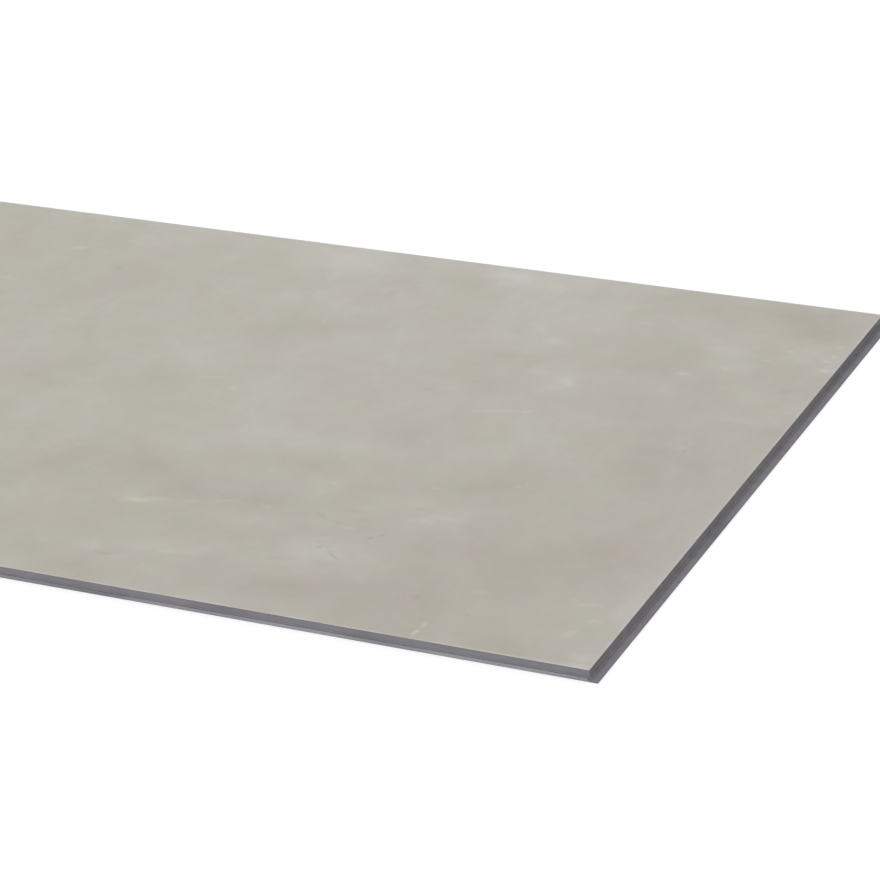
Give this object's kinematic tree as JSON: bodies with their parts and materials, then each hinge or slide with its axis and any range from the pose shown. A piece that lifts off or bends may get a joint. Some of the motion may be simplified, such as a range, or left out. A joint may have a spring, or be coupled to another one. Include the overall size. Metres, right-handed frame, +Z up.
{
  "type": "rigid vinyl click floor tile",
  "caption": "Rigid vinyl floor tile with a grey stone look, micro-bevelled top edges, and tongue and groove edges that click into their neighbours.",
  "frame": {"origin": "centre of the laying rectangle, on the underside", "axes": "+X along the tile's length towards the short edge with the long lower lip, -Y towards the long edge with the groove, +Z up through the walking face"},
  "size_m": [0.6141, 0.3065, 0.0045],
  "materials": {
    "filled_vinyl": "matt printed stone look under a clear wear layer, over a grey mineral-filled core"
  },
  "bodies": {
    "root": {"click_tile": "filled_vinyl"}
  },
  "joints": []
}
